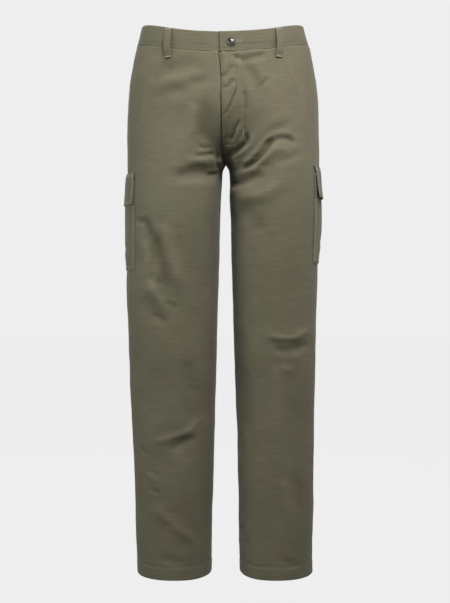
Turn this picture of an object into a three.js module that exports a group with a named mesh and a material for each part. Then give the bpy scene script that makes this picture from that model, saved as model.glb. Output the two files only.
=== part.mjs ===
// Cargo trousers as worn, filled out and hollow, with nobody in them.
// Millimetres. X runs to the wearer's left, Y to the back and Z up, from the centre of the waist.
import * as THREE from 'three';

// Cloth
const clothWall = 1.6;
const hemWall = 3;
const hemHeight = 25;
const hemStep = 6;
const seamGap = 0.3;

// Waistband and what sits on it
const bandWall = 2.6;
const bandHeight = 40;
const bandTop = { front: -6, side: 20.5, back: 25 };
const bandLap = { raised: 1.2, raisedFrom: 4, raisedOver: 2, sunk: 2.2, sunkFrom: 1, tuckedColumns: 2 };
const loopSize = { width: 14, wall: 1.8, clear: 5.6, seat: 0.7, below: 20, pad: 6, topDrop: 2 };
const loopPlaces = [
  { name: 'belt_loop_front_left', side: 1, x: 104, face: 'front' },
  { name: 'belt_loop_front_right', side: -1, x: 106, face: 'front' },
  { name: 'belt_loop_back_left', side: 1, x: 102, face: 'back' },
  { name: 'belt_loop_back_right', side: -1, x: 102, face: 'back' },
  { name: 'belt_loop_back_centre', side: 1, x: 0, face: 'back' },
];
const buttonSize = { radius: 8.5, height: 4.6, rim: 1.1, dome: 7, x: 14, z: -27, clear: 0.65 };

// Fly, a strip on the wearer's left front that ends in a J
const flySize = {
  width: 43, edgeWall: 1.4, stitchedWall: 0.5, clear: 0.75, straightTo: -188, bottom: -222,
  divisions: 4, firstRow: 0.03, curveStep: 0.25, tip: 0.12,
};

// Cargo pockets on the outer thighs, each over the side seam, and their flaps
const pocketSize = { height: 189, tuck: 14, wall: 2, frontColumns: 1, backColumns: 6 };
const flapSize = { height: 62, wall: 1.8, stand: 3, curl: 1.5 };
const flapTop = { left: -256, right: -270 };

// Seat seam: straight down to the curve, then round under to the crotch
const rise = { leanFrom: -100, curveStart: -120, crotch: -248, crotchX: 4, crotchY: 14 };
const hem = { side: -1050, frontDip: 6, backDip: 2, dipRows: 13, dipRound: 0.8 };

// Where the torso's ring turns into the legs' rings: near the middle from a share of the way across,
// and elsewhere from a height and over a depth
const legTurn = { innerFrom: 0.6, outerFrom: -110, outerOver: 220 };

// How the panels are divided. Rows above the crotch fan out round the curve of the seat seam.
const panelColumns = 14;
const riseRows = { straight: 4, curved: 8 };
const legRows = { underFlap: 2, underPocket: 6, toKnee: 11, toHem: 10, inHem: 2, knee: -700, levelOver: 12 };
const roundness = 2.25;

// Points closer than 1 / pointScale count as one where normals are shared
const pointScale = 50;
const lathe = { sides: 24, steps: 4 };
const search = { steps: 30, acrossStep: 0.01 };

// Outer reach of each side from the middle, and how far front and back stand from the Y = 0 plane.
// The side line is where a section is widest, and the side seam lies ahead of it by seamTurn degrees.
const sections = [
  { z: 60, right: 158, left: 153, front: 104, back: 108, sideY: 4, seamTurn: 8 },
  { z: 16, right: 163, left: 158, front: 107, back: 113, sideY: 4, seamTurn: 8 },
  { z: -20, right: 173, left: 169, front: 112, back: 120, sideY: 5, seamTurn: 10 },
  { z: -60, right: 181, left: 178, front: 117, back: 128, sideY: 6, seamTurn: 13 },
  { z: -100, right: 187, left: 184, front: 120, back: 137, sideY: 7, seamTurn: 16 },
  { z: -160, right: 191, left: 188, front: 121, back: 145, sideY: 9, seamTurn: 20 },
  { z: -220, right: 192, left: 189, front: 118, back: 143, sideY: 9, seamTurn: 24 },
  { z: -280, right: 191, left: 188, front: 112, back: 128, sideY: 8, seamTurn: 27 },
  { z: -360, right: 190.5, left: 187.5, front: 106, back: 117, sideY: 6, seamTurn: 29 },
  { z: -440, right: 191, left: 185, front: 99, back: 109, sideY: 4, seamTurn: 29 },
  { z: -516, right: 191.5, left: 183, front: 93, back: 99, sideY: 2, seamTurn: 29 },
  { z: -600, right: 187.5, left: 181, front: 88, back: 86, sideY: 0, seamTurn: 29 },
  { z: -713, right: 184, left: 179, front: 80, back: 87, sideY: 2, seamTurn: 24 },
  { z: -832, right: 177, left: 177, front: 76, back: 86, sideY: 4, seamTurn: 19 },
  { z: -950, right: 174, left: 175.5, front: 73, back: 81, sideY: 4, seamTurn: 15 },
  { z: -1070, right: 169.5, left: 173.5, front: 72, back: 77, sideY: 3, seamTurn: 13 },
];

// Where the inside of each leg is, below the crotch
const insideLegs = [
  { z: -248, right: 4, left: 4 },
  { z: -262, right: -2.5, left: 10.5 },
  { z: -282, right: -4.5, left: 12.3 },
  { z: -318, right: -6.8, left: 12.8 },
  { z: -437, right: -10, left: 16 },
  { z: -595, right: -14, left: 20 },
  { z: -713, right: -18, left: 24 },
  { z: -832, right: -20, left: 28 },
  { z: -950, right: -24, left: 30 },
  { z: -1070, right: -26, left: 33 },
];

// How far the front opening's edge lies off the centre line
const frontEdges = [
  { z: 60, shift: -10 },
  { z: -8, shift: -10 },
  { z: -46, shift: -8 },
  { z: -70, shift: -4 },
  { z: -140, shift: -3 },
  { z: -200, shift: -5 },
  { z: -227, shift: -5.5 },
  { z: -248, shift: 0 },
];

// The largest folds, drawn on the front or back as lines of x and z. A negative height is a trough.
const folds = [
  { face: 'front', height: -6, width: 11, line: [[-90, -278], [-66, -267], [-38, -263], [-14, -267]] },
  { face: 'front', height: -5, width: 12,
    line: [[-160, -362], [-146, -376], [-137, -410], [-128, -447], [-118, -482], [-98, -526]] },
  { face: 'front', height: 3.5, width: 12, line: [[-127, -362], [-119, -410], [-108, -450], [-98, -500]] },
  { face: 'front', height: 3, width: 13, line: [[-150, -470], [-142, -500], [-120, -526]] },
  { face: 'front', height: -3, width: 13, line: [[-144, -530], [-116, -556]] },
  { face: 'front', height: 3.5, width: 12, line: [[-132, -790], [-88, -780], [-55, -756], [-26, -752]] },
  { face: 'front', height: -3.5, width: 12, line: [[-114, -818], [-88, -798], [-58, -772]] },
  { face: 'front', height: 2.5, width: 14, line: [[-134, -918], [-92, -950], [-50, -991]] },
  { face: 'front', height: -6, width: 11,
    line: [[40, -258], [58, -244], [76, -220], [92, -203], [110, -197], [128, -210]] },
  { face: 'front', height: 3, width: 11, line: [[62, -262], [82, -238], [98, -222], [116, -216]] },
  { face: 'front', height: -4, width: 11, line: [[18, -277], [44, -276], [80, -270]] },
  { face: 'front', height: 3, width: 13, line: [[20, -320], [58, -318], [98, -305], [124, -290]] },
  { face: 'front', height: 3, width: 11, line: [[86, -588], [124, -595], [160, -580]] },
  { face: 'front', height: -3.5, width: 11, line: [[90, -612], [122, -620], [158, -604]] },
  { face: 'front', height: -3, width: 12, line: [[-130, -80], [-93, -69], [-52, -71]] },
  { face: 'front', height: -3, width: 13, line: [[-116, -120], [-80, -107], [-30, -90]] },
  { face: 'back', height: -5, width: 13, line: [[-150, -262], [-100, -288], [-50, -284], [-22, -268]] },
  { face: 'back', height: -5, width: 13, line: [[148, -258], [102, -284], [54, -282], [26, -266]] },
  { face: 'back', height: -3.5, width: 13, line: [[-136, -330], [-92, -352], [-46, -340]] },
  { face: 'back', height: -3.5, width: 13, line: [[132, -344], [88, -360], [50, -346]] },
  { face: 'back', height: -4, width: 12, line: [[-156, -566], [-104, -590], [-44, -576]] },
  { face: 'back', height: -4, width: 12, line: [[158, -576], [112, -598], [54, -590]] },
  { face: 'back', height: -3.5, width: 12, line: [[-150, -640], [-98, -628], [-52, -644]] },
  { face: 'back', height: -3.5, width: 12, line: [[150, -652], [104, -640], [60, -650]] },
  { face: 'back', height: -3, width: 13, line: [[-136, -900], [-94, -886], [-52, -904]] },
  { face: 'back', height: -3, width: 13, line: [[140, -880], [102, -866], [62, -884]] },
];

// A fold is shallower at its ends, and fades out round the sides of the legs
const foldFade = { ends: 26, atEnds: 0.35, sideY: 30, sideDepth: 60 };

const khaki = { color: 0x6f6a57, roughness: 0.86, metalness: 0 };
const khakiDark = { color: 0x625e4c, roughness: 0.88, metalness: 0 };
const gunmetal = { color: 0x3c3b39, roughness: 0.38, metalness: 0.9 };

const sides = [
  { name: 'left', sign: 1 },
  { name: 'right', sign: -1 },
];
const faces = ['front', 'back'];

// Small helpers

function smooth(t) {
  const k = Math.min(Math.max(t, 0), 1);
  return k * k * (3 - 2 * k);
}

function mix(a, b, t) {
  return a + (b - a) * t;
}

// A smooth value between the rows of a table that runs down in z
function tableValue(rows, column, z) {
  const clampedZ = Math.min(Math.max(z, rows[rows.length - 1].z), rows[0].z);
  let i = 0;
  while (i < rows.length - 2 && clampedZ < rows[i + 1].z) i += 1;
  const slopeAt = (k) => {
    const before = rows[Math.max(k - 1, 0)];
    const after = rows[Math.min(k + 1, rows.length - 1)];
    return (after[column] - before[column]) / (after.z - before.z);
  };
  const step = rows[i + 1].z - rows[i].z;
  const t = (clampedZ - rows[i].z) / step;
  const t2 = t * t;
  const t3 = t2 * t;
  return (2 * t3 - 3 * t2 + 1) * rows[i][column]
    + (t3 - 2 * t2 + t) * step * slopeAt(i)
    + (3 * t2 - 2 * t3) * rows[i + 1][column]
    + (t3 - t2) * step * slopeAt(i + 1);
}

// The trousers' surface, before folds. across is 0 at the side seam and 1 at the centre or inside
// leg seam. The torso is a ring round the middle, each leg a ring of its own, and one turns into
// the other round the crotch.

function centreX(z) {
  return rise.crotchX * smooth((rise.leanFrom - z) / (rise.leanFrom - rise.crotch));
}

function ringPoint(side, z, angle, middle, halfWidth) {
  const front = tableValue(sections, 'front', z);
  const back = tableValue(sections, 'back', z);
  const sideY = tableValue(sections, 'sideY', z);
  const power = 2 / roundness;
  const c = Math.cos(angle);
  const s = Math.sin(angle);
  const reach = s > 0 ? -(front + sideY) : back - sideY;
  const x = middle + side.sign * halfWidth * Math.sign(c) * Math.abs(c) ** power;
  return new THREE.Vector2(x, sideY + reach * Math.abs(s) ** power);
}

function surfacePoint(side, face, across, z) {
  const outerX = side.sign * tableValue(sections, side.name, z);
  const middleX = centreX(z);
  const innerX = z > rise.crotch ? middleX : tableValue(insideLegs, side.name, z);
  const turn = THREE.MathUtils.degToRad(tableValue(sections, 'seamTurn', z));
  const way = face === 'front' ? 1 : -1;
  const torsoAngle = mix(turn, way * Math.PI / 2, across);
  const legAngle = mix(turn, way * Math.PI, across);
  const torso = ringPoint(side, z, torsoAngle, middleX, Math.abs(outerX - middleX));
  const leg = ringPoint(side, z, legAngle, (outerX + innerX) / 2, Math.abs(outerX - innerX) / 2);
  const inner = smooth((across - legTurn.innerFrom) / (1 - legTurn.innerFrom));
  leg.y += (rise.crotchY - tableValue(sections, 'sideY', z)) * inner;
  const down = Math.min(Math.max((rise.curveStart - z) / (rise.curveStart - rise.crotch), 0), 1);
  const legAtSeam = 1 - Math.sqrt(1 - down * down);
  const legOutside = smooth((legTurn.outerFrom - z) / legTurn.outerOver);
  const legShare = mix(legOutside, legAtSeam, inner);
  const point = torso.lerp(leg, legShare);
  const edgeShift = face === 'front' ? tableValue(frontEdges, 'shift', z) * Math.max(across, 0) ** 3 : 0;
  return new THREE.Vector3(point.x + edgeShift, point.y, z);
}

// Heights of the panel rows, at the side seam and at the centre or inside leg seam

function countTo(from, to, count) {
  return Array.from({ length: count }, (_, i) => mix(from, to, (i + 1) / count));
}

function sideRowHeights(side) {
  const top = flapTop[side.name];
  const heights = [bandTop.side - bandHeight];
  const riseCount = riseRows.straight + riseRows.curved;
  heights.push(...countTo(heights[0], top, riseCount));
  heights.push(top - pocketSize.tuck);
  heights.push(...countTo(top - pocketSize.tuck, top - flapSize.height, legRows.underFlap));
  heights.push(...countTo(top - flapSize.height, top - pocketSize.height, legRows.underPocket));
  heights.push(...countTo(top - pocketSize.height, legRows.knee, legRows.toKnee));
  heights.push(...countTo(legRows.knee, hem.side + hemHeight + hemStep, legRows.toHem));
  heights.push(hem.side + hemHeight, hem.side);
  return heights;
}

const rowIndex = { crotch: riseRows.straight + riseRows.curved };
rowIndex.pocketTop = rowIndex.crotch + 1;
rowIndex.flapBottom = rowIndex.pocketTop + legRows.underFlap;
rowIndex.pocketBottom = rowIndex.flapBottom + legRows.underPocket;
rowIndex.knee = rowIndex.pocketBottom + legRows.toKnee;
rowIndex.hem = rowIndex.knee + legRows.toHem + legRows.inHem;

// The stretches of a panel, each a solid of its own. The first cut passes under the flap's top, and
// the second goes round the knee.
const panelParts = [
  { name: 'top', from: 0, to: rowIndex.pocketTop },
  { name: 'thigh', from: rowIndex.pocketTop, to: rowIndex.knee },
  { name: 'shin', from: rowIndex.knee, to: rowIndex.hem },
];

function seamRowHeight(side, face, row, sideHeights) {
  const start = bandTop[face] - bandHeight;
  if (row <= riseRows.straight) return mix(start, rise.curveStart, row / riseRows.straight);
  if (row <= rowIndex.crotch) {
    const turned = (row - riseRows.straight) / riseRows.curved * Math.PI / 2;
    return mix(rise.curveStart, rise.crotch, Math.sin(turned));
  }
  const offset = rise.crotch - flapTop[side.name];
  return sideHeights[row] + offset * (1 - smooth((row - rowIndex.crotch) / legRows.levelOver));
}

function rowZ(side, face, row, across, sideHeights) {
  const atSide = sideHeights[row];
  const atSeam = seamRowHeight(side, face, row, sideHeights);
  const dip = face === 'front' ? hem.frontDip : hem.backDip;
  const dipFrom = sideHeights.length - 1 - hem.dipRows;
  return mix(atSide, atSeam, Math.sin(across * Math.PI / 2) ** 2)
    - dip * smooth((row - dipFrom) / hem.dipRows) * Math.sin(across * Math.PI) ** hem.dipRound;
}

// A grid of points is an array of rows, each an array of Vector3

function basePanel(side, face) {
  const sideHeights = sideRowHeights(side);
  return sideHeights.map((_, row) => Array.from({ length: panelColumns + 1 }, (__, column) => {
    const across = column / panelColumns;
    return surfacePoint(side, face, across, rowZ(side, face, row, across, sideHeights));
  }));
}

function pointKey(point) {
  return [point.x, point.y, point.z].map((value) => Math.round(value * pointScale)).join(' ');
}

// Normals averaged over all the grids that share a point, facing away from the legs' middles
function sharedNormals(grids) {
  const sums = new Map();
  const add = (point, normal) => {
    const key = pointKey(point);
    if (!sums.has(key)) sums.set(key, new THREE.Vector3());
    sums.get(key).add(normal);
  };
  for (const { grid, outward } of grids) {
    for (let r = 0; r < grid.length - 1; r += 1) {
      for (let c = 0; c < grid[r].length - 1; c += 1) {
        const corners = [grid[r][c], grid[r][c + 1], grid[r + 1][c + 1], grid[r + 1][c]];
        const acrossCell = corners[2].clone().sub(corners[0]);
        const normal = acrossCell.cross(corners[3].clone().sub(corners[1])).multiplyScalar(outward);
        corners.forEach((corner) => add(corner, normal));
      }
    }
  }
  return grids.map(({ grid }) => grid.map((row) => row.map(
    (point) => sums.get(pointKey(point)).clone().normalize())));
}

function foldAt(point) {
  const frontShare = smooth((foldFade.sideY - point.y) / foldFade.sideDepth);
  let height = 0;
  for (const fold of folds) {
    const share = fold.face === 'front' ? frontShare : 1 - frontShare;
    let nearest = Infinity;
    let strength = 0;
    const last = fold.line.length - 1;
    for (let i = 0; i < last; i += 1) {
      const [ax, az] = fold.line[i];
      const [bx, bz] = fold.line[i + 1];
      const length2 = (bx - ax) ** 2 + (bz - az) ** 2;
      const along = ((point.x - ax) * (bx - ax) + (point.z - az) * (bz - az)) / length2;
      const t = Math.min(Math.max(along, 0), 1);
      const distance = Math.hypot(point.x - mix(ax, bx, t), point.z - mix(az, bz, t));
      if (distance < nearest) {
        nearest = distance;
        const endDistance = Math.min(
          Math.hypot(point.x - fold.line[0][0], point.z - fold.line[0][1]),
          Math.hypot(point.x - fold.line[last][0], point.z - fold.line[last][1]));
        strength = mix(foldFade.atEnds, 1, smooth(endDistance / foldFade.ends));
      }
    }
    height += share * fold.height * strength * Math.exp(-((nearest / fold.width) ** 2));
  }
  return height;
}

// Which way a grid's cells face: rows run down, columns run from the side seam to the middle
function outwardSign(side, face) {
  return side.sign * (face === 'front' ? 1 : -1);
}

const panels = [];
for (const side of sides) {
  for (const face of faces) {
    panels.push({ side, face, outward: outwardSign(side, face), grid: basePanel(side, face) });
  }
}
sharedNormals(panels).forEach((normals, i) => {
  panels[i].grid = panels[i].grid.map((row, r) => row.map(
    (point, c) => point.clone().addScaledVector(normals[r][c], foldAt(point))));
});
sharedNormals(panels).forEach((normals, i) => {
  panels[i].normals = normals;
});

function panelOf(side, face) {
  return panels.find((panel) => panel.side === side && panel.face === face);
}

// A closed solid between two grids of the same size. mirrored names the columns whose cells are
// split along the other diagonal, so that a piece follows the panel that it lies on.
function wallGeometry(outer, inner, mirrored = () => false) {
  const rows = outer.length;
  const columns = outer[0].length;
  const positions = [...outer.flat(), ...inner.flat()].flatMap((point) => point.toArray());
  const outerIndex = (r, c) => r * columns + c;
  const innerIndex = (r, c) => rows * columns + r * columns + c;
  const index = [];
  const quad = (a, b, c, d, otherWay) => {
    if (otherWay) index.push(b, c, d, b, d, a);
    else index.push(a, b, c, a, c, d);
  };
  for (let r = 0; r < rows - 1; r += 1) {
    for (let c = 0; c < columns - 1; c += 1) {
      const corners = [[r, c], [r + 1, c], [r + 1, c + 1], [r, c + 1]];
      const [o0, o1, o2, o3] = corners.map((corner) => outerIndex(...corner));
      const [n0, n1, n2, n3] = corners.map((corner) => innerIndex(...corner));
      quad(o0, o1, o2, o3, mirrored(c));
      quad(n0, n3, n2, n1, mirrored(c));
    }
  }
  const rim = (from, to, otherWay = false) => {
    quad(outerIndex(...from), outerIndex(...to), innerIndex(...to), innerIndex(...from), otherWay);
  };
  // A bottom rim is split as the top rim is, so that one solid fits under another
  for (let c = 0; c < columns - 1; c += 1) {
    rim([0, c], [0, c + 1]);
    rim([rows - 1, c + 1], [rows - 1, c], true);
  }
  for (let r = 0; r < rows - 1; r += 1) {
    rim([r + 1, 0], [r, 0]);
    rim([r, columns - 1], [r + 1, columns - 1]);
  }
  return facingOut(positions, index);
}

function facingOut(positions, index) {
  const corner = (i) => new THREE.Vector3().fromArray(positions, index[i] * 3);
  let volume = 0;
  for (let i = 0; i < index.length; i += 3) {
    volume += corner(i).dot(corner(i + 1).cross(corner(i + 2)));
  }
  if (volume < 0) index.reverse();
  const geometry = new THREE.BufferGeometry();
  geometry.setAttribute('position', new THREE.Float32BufferAttribute(positions, 3));
  geometry.setIndex(index);
  return geometry;
}

// Moves a grid's outermost lines in by half a seam gap, each edge only where it is asked for
function trimmed(grid, edges) {
  const result = grid.map((row) => row.map((point) => point.clone()));
  const half = seamGap / 2;
  const pull = (point, inner) => point.add(inner.clone().sub(point).setLength(half));
  const lastColumn = grid[0].length - 1;
  if (edges.top) result[0].forEach((point, c) => pull(point, grid[1][c]));
  if (edges.bottom) result.at(-1).forEach((point, c) => pull(point, grid.at(-2)[c]));
  if (edges.first) result.forEach((row, r) => pull(row[0], grid[r][1]));
  if (edges.last) result.forEach((row, r) => pull(row[lastColumn], grid[r][lastColumn - 1]));
  return result;
}

function movedAlong(grid, normals, distance) {
  return grid.map((row, r) => row.map(
    (point, c) => point.clone().addScaledVector(normals[r][c], distance(r, c))));
}

function makeMesh(name, geometry, look) {
  const mesh = new THREE.Mesh(geometry, new THREE.MeshStandardMaterial(look));
  mesh.name = name;
  mesh.geometry.computeVertexNormals();
  return mesh;
}

// Front and back panels

// Keeps both sides of the seat seam half a gap from the surface that the two edges share
function clearOfSeam(grid, panel) {
  const sign = panel.side.sign;
  return grid.map((row, r) => row.map((point) => {
    if (r > rowIndex.crotch) return point;
    const seamX = panel.grid[r][panelColumns].x;
    const clear = Math.max(sign * (point.x - seamX), seamGap / 2);
    return point.clone().setX(seamX + sign * clear);
  }));
}

// Each panel is several solids, one below another, so that each bends round a short hollow only
function panelMeshes(panel) {
  const wallAt = (r) => -(r > rowIndex.hem - legRows.inHem ? hemWall : clothWall);
  const inner = movedAlong(panel.grid, panel.normals, wallAt);
  const walls = [panel.grid, inner].map(
    (grid) => clearOfSeam(trimmed(grid, { top: true, first: true, last: true }), panel));
  return panelParts.map(({ name, from, to }, i) => {
    const edges = { top: i > 0, bottom: i < panelParts.length - 1 };
    const part = walls.map((grid) => trimmed(grid.slice(from, to + 1), edges));
    return makeMesh(`${panel.face}_${panel.side.name}_${name}`, wallGeometry(...part), khaki);
  });
}

// Waistband: each half runs from the centre back round the side to the front. At the front the
// wearer's left end is raised and the right end is tucked under it.

function bandPoint(side, face, across, up) {
  const sideHeights = sideRowHeights(side);
  const z = rowZ(side, face, 0, Math.min(across, 1), sideHeights) + up;
  return surfacePoint(side, face, across, z);
}

function bandGrid(side) {
  const tucked = side.name === 'right' ? bandLap.tuckedColumns : 0;
  const stations = [];
  for (let c = panelColumns; c > 0; c -= 1) stations.push({ face: 'back', across: c / panelColumns });
  for (let c = 0; c <= panelColumns; c += 1) stations.push({ face: 'front', across: c / panelColumns });
  for (let c = 1; c <= tucked; c += 1) {
    stations.push({ face: 'front', across: 1 + c / panelColumns });
  }
  const heights = [seamGap, bandHeight / 2, bandHeight];
  return heights.map((up) => stations.map(({ face, across }) => bandPoint(side, face, across, up)));
}

// Level normals of a grid whose columns run from the back round the side to the front
function bandNormals(grid, sign) {
  return grid.map((row) => row.map((_, c) => {
    const along = row[Math.min(c + 1, row.length - 1)].clone().sub(row[Math.max(c - 1, 0)]);
    if (c === 0) along.y = 0;
    return new THREE.Vector3(-along.y, along.x, 0).multiplyScalar(sign).normalize();
  }));
}

function bandMesh(side) {
  const grid = bandGrid(side);
  const normals = bandNormals(grid, side.sign);
  const frontEnd = 2 * panelColumns;
  const lap = side.name === 'left'
    ? (c) => bandLap.raised * smooth((c - frontEnd + bandLap.raisedFrom) / bandLap.raisedOver)
    : (c) => -bandLap.sunk * smooth(c - frontEnd + bandLap.sunkFrom);
  const outer = movedAlong(grid, normals, (r, c) => lap(c));
  const inner = movedAlong(outer, normals, () => -bandWall);
  const edges = { first: true, last: true };
  const geometry = wallGeometry(trimmed(outer, edges), trimmed(inner, edges));
  return makeMesh(`waistband_${side.name}`, geometry, khakiDark);
}

// Fly: a strip made from the wearer's left front panel, thick at the edge and thin where the
// J stitching presses it down. It narrows to nothing at the bottom of the J.

function gridValue(grid, row, column) {
  const r = Math.min(Math.floor(row), grid.length - 2);
  const c = Math.min(Math.floor(column), grid[0].length - 2);
  const upper = grid[r][c].clone().lerp(grid[r][c + 1], column - c);
  const lower = grid[r + 1][c].clone().lerp(grid[r + 1][c + 1], column - c);
  return upper.lerp(lower, row - r);
}

// The column that lies a given distance from the centre seam, on a row
function columnAt(grid, row, distance) {
  let column = panelColumns;
  let left = distance;
  while (column > 1) {
    const step = gridValue(grid, row, column).distanceTo(gridValue(grid, row, column - 1));
    if (step > left) return column - left / step;
    left -= step;
    column -= 1;
  }
  return column;
}

function flyMesh() {
  const panel = panelOf(sides[0], 'front');
  const seamHeights = panel.grid.map((row) => row[panelColumns].z);
  const rowAt = (z) => {
    const r = seamHeights.findIndex((height) => height < z) - 1;
    return r + (seamHeights[r] - z) / (seamHeights[r] - seamHeights[r + 1]);
  };
  const straightRow = rowAt(flySize.straightTo);
  const bottomRow = rowAt(flySize.bottom);
  const rows = [flySize.firstRow];
  for (let r = 1; r < bottomRow; r += r < Math.floor(straightRow) ? 1 : flySize.curveStep) rows.push(r);
  rows.push(bottomRow);
  const widthAt = (row) => {
    const down = Math.max((row - straightRow) / (bottomRow - straightRow), 0);
    return flySize.width * Math.max(Math.sqrt(1 - down * down), flySize.tip);
  };
  const layer = (thickness) => rows.map((row) => Array.from({ length: flySize.divisions + 1 }, (_, i) => {
    const share = i / flySize.divisions;
    const column = columnAt(panel.grid, row, widthAt(row) * (1 - share));
    const normal = gridValue(panel.normals, row, column).normalize();
    return gridValue(panel.grid, row, column).addScaledVector(normal, thickness(share));
  }));
  const inner = layer(() => flySize.clear);
  const outer = layer((share) => flySize.clear + mix(flySize.stitchedWall, flySize.edgeWall, share));
  const edges = { last: true };
  return makeMesh('fly_front', wallGeometry(trimmed(outer, edges), trimmed(inner, edges)), khaki);
}

// Cargo pockets and flaps: grids that run from the front panel over the side seam to the back one

function thighStrip(side, firstRow, lastRow) {
  const front = panelOf(side, 'front');
  const back = panelOf(side, 'back');
  const strip = { points: [], normals: [] };
  for (const [key, source] of [['points', 'grid'], ['normals', 'normals']]) {
    for (let r = firstRow; r <= lastRow; r += 1) {
      const ahead = front[source][r].slice(1, pocketSize.frontColumns + 1).reverse();
      strip[key].push([...ahead, ...back[source][r].slice(0, pocketSize.backColumns + 1)]);
    }
  }
  return strip;
}

function pocketMesh(side) {
  const { points, normals } = thighStrip(side, rowIndex.pocketTop, rowIndex.pocketBottom);
  const inner = movedAlong(points, normals, () => seamGap);
  const outer = movedAlong(points, normals, () => seamGap + pocketSize.wall);
  const ahead = (c) => c < pocketSize.frontColumns;
  return makeMesh(`cargo_pocket_${side.name}`, wallGeometry(outer, inner, ahead), khaki);
}

// The flap's top row is sewn to the leg, and below it lies over the pocket and stands off it
function flapMesh(side) {
  const { points, normals } = thighStrip(side, rowIndex.crotch, rowIndex.flapBottom);
  const lastRow = points.length - 1;
  const overPocket = 2 * seamGap + pocketSize.wall;
  const standAt = (r) => flapSize.stand * ((r - 1) / (lastRow - 1)) ** flapSize.curl;
  const lift = (r) => (r === 0 ? seamGap : overPocket + standAt(r));
  const inner = movedAlong(points, normals, (r) => lift(r));
  const outer = movedAlong(points, normals, (r) => lift(r) + flapSize.wall);
  const ahead = (c) => c < pocketSize.frontColumns;
  return makeMesh(`cargo_flap_${side.name}`, wallGeometry(outer, inner, ahead), khakiDark);
}

// Belt loops: a strip sewn down at the band's top and below its seam, and clear of it between

function loopMesh({ name, side: sign, x, face }) {
  const side = sides.find((candidate) => candidate.sign === sign);
  const acrossFor = (targetX, z) => {
    let low = 0;
    let high = 1;
    for (let i = 0; i < search.steps; i += 1) {
      const middle = (low + high) / 2;
      if (sign * surfacePoint(side, face, middle, z).x > targetX) low = middle;
      else high = middle;
    }
    return low;
  };
  const bandSeam = bandPoint(side, face, acrossFor(x, 0), 0).z;
  const top = bandSeam + bandHeight - loopSize.topDrop;
  const bottom = bandSeam - loopSize.below;
  const levels = [
    { z: top, clear: loopSize.seat },
    { z: top - loopSize.pad, clear: loopSize.seat },
    { z: top - 2 * loopSize.pad, clear: loopSize.clear },
    { z: (top + bottom) / 2, clear: loopSize.clear },
    { z: bottom + 2 * loopSize.pad, clear: loopSize.clear },
    { z: bottom + loopSize.pad, clear: loopSize.seat },
    { z: bottom, clear: loopSize.seat },
  ];
  const middle = surfacePoint(side, face, acrossFor(x, top), top);
  const next = surfacePoint(side, face, acrossFor(x, top) + search.acrossStep, top);
  const along = next.sub(middle).setZ(0).normalize();
  const out = new THREE.Vector3(along.y, -along.x, 0);
  if (out.y * (face === 'front' ? -1 : 1) < 0) out.negate();
  const layer = (extra) => levels.map(({ z, clear }) => [-1, 1].map((edge) => {
    const base = surfacePoint(side, face, acrossFor(x, z), z);
    return base.addScaledVector(along, edge * loopSize.width / 2).addScaledVector(out, clear + extra);
  }));
  return makeMesh(name, wallGeometry(layer(loopSize.wall), layer(0)), khakiDark);
}

// Button: a shallow dome inside a rolled rim, standing on the raised end of the waistband

function buttonProfile() {
  const { radius, height, rim, dome } = buttonSize;
  const profile = [new THREE.Vector2(0, 0)];
  for (let i = 0; i <= lathe.steps; i += 1) {
    const turned = Math.PI * (i / lathe.steps) - Math.PI / 2;
    profile.push(new THREE.Vector2(radius - rim + rim * Math.cos(turned), rim + rim * Math.sin(turned)));
  }
  for (let i = 0; i < lathe.steps; i += 1) {
    const turned = i / lathe.steps * Math.PI / 2;
    const domeHeight = (height - 2 * rim) * Math.sin(turned);
    profile.push(new THREE.Vector2(dome * Math.cos(turned), 2 * rim + domeHeight));
  }
  profile.push(new THREE.Vector2(0, height));
  return profile;
}

function buttonMesh() {
  const { radius } = buttonSize;
  const mesh = makeMesh('button', new THREE.LatheGeometry(buttonProfile(), lathe.sides), gunmetal);
  const across = 1 - buttonSize.x / tableValue(sections, 'left', buttonSize.z);
  const [middle, above] = [0, radius].map(
    (up) => surfacePoint(sides[0], 'front', across, buttonSize.z + up));
  const lean = Math.atan2(above.y - middle.y, radius);
  const stand = bandLap.raised + buttonSize.clear;
  mesh.geometry.rotateX(Math.PI - lean);
  mesh.position.set(
    buttonSize.x, middle.y - stand * Math.cos(lean), buttonSize.z + stand * Math.sin(lean));
  return mesh;
}

const trousers = new THREE.Group();
panels.forEach((panel) => trousers.add(...panelMeshes(panel)));
sides.forEach((side) => trousers.add(bandMesh(side), pocketMesh(side), flapMesh(side)));
loopPlaces.forEach((place) => trousers.add(loopMesh(place)));
trousers.add(flyMesh(), buttonMesh());

export default trousers;
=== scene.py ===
import math

import bmesh
import bpy
import numpy as np
from mathutils import Matrix, Vector, noise
from mathutils.bvhtree import BVHTree


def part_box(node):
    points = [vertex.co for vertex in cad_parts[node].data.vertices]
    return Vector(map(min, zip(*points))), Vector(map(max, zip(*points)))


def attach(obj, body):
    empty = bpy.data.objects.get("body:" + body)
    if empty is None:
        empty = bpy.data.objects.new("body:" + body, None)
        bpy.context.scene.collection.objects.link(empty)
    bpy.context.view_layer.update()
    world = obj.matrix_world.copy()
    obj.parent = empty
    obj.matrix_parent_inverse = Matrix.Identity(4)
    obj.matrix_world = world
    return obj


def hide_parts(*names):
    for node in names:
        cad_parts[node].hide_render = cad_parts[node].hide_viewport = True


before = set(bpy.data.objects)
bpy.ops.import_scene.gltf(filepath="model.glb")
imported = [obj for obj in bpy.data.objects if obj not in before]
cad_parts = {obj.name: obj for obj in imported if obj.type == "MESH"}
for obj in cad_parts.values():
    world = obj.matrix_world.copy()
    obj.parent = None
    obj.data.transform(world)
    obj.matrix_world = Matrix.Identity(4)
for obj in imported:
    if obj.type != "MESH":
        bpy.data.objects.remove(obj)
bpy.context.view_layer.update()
print("frame read")
mm = 0.001
sides = {"left": 1, "right": -1}  # the wearer's, and the sign of X
faces = {"front": -1, "back": 1}  # the sign of Y

# Camera and studio

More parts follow.
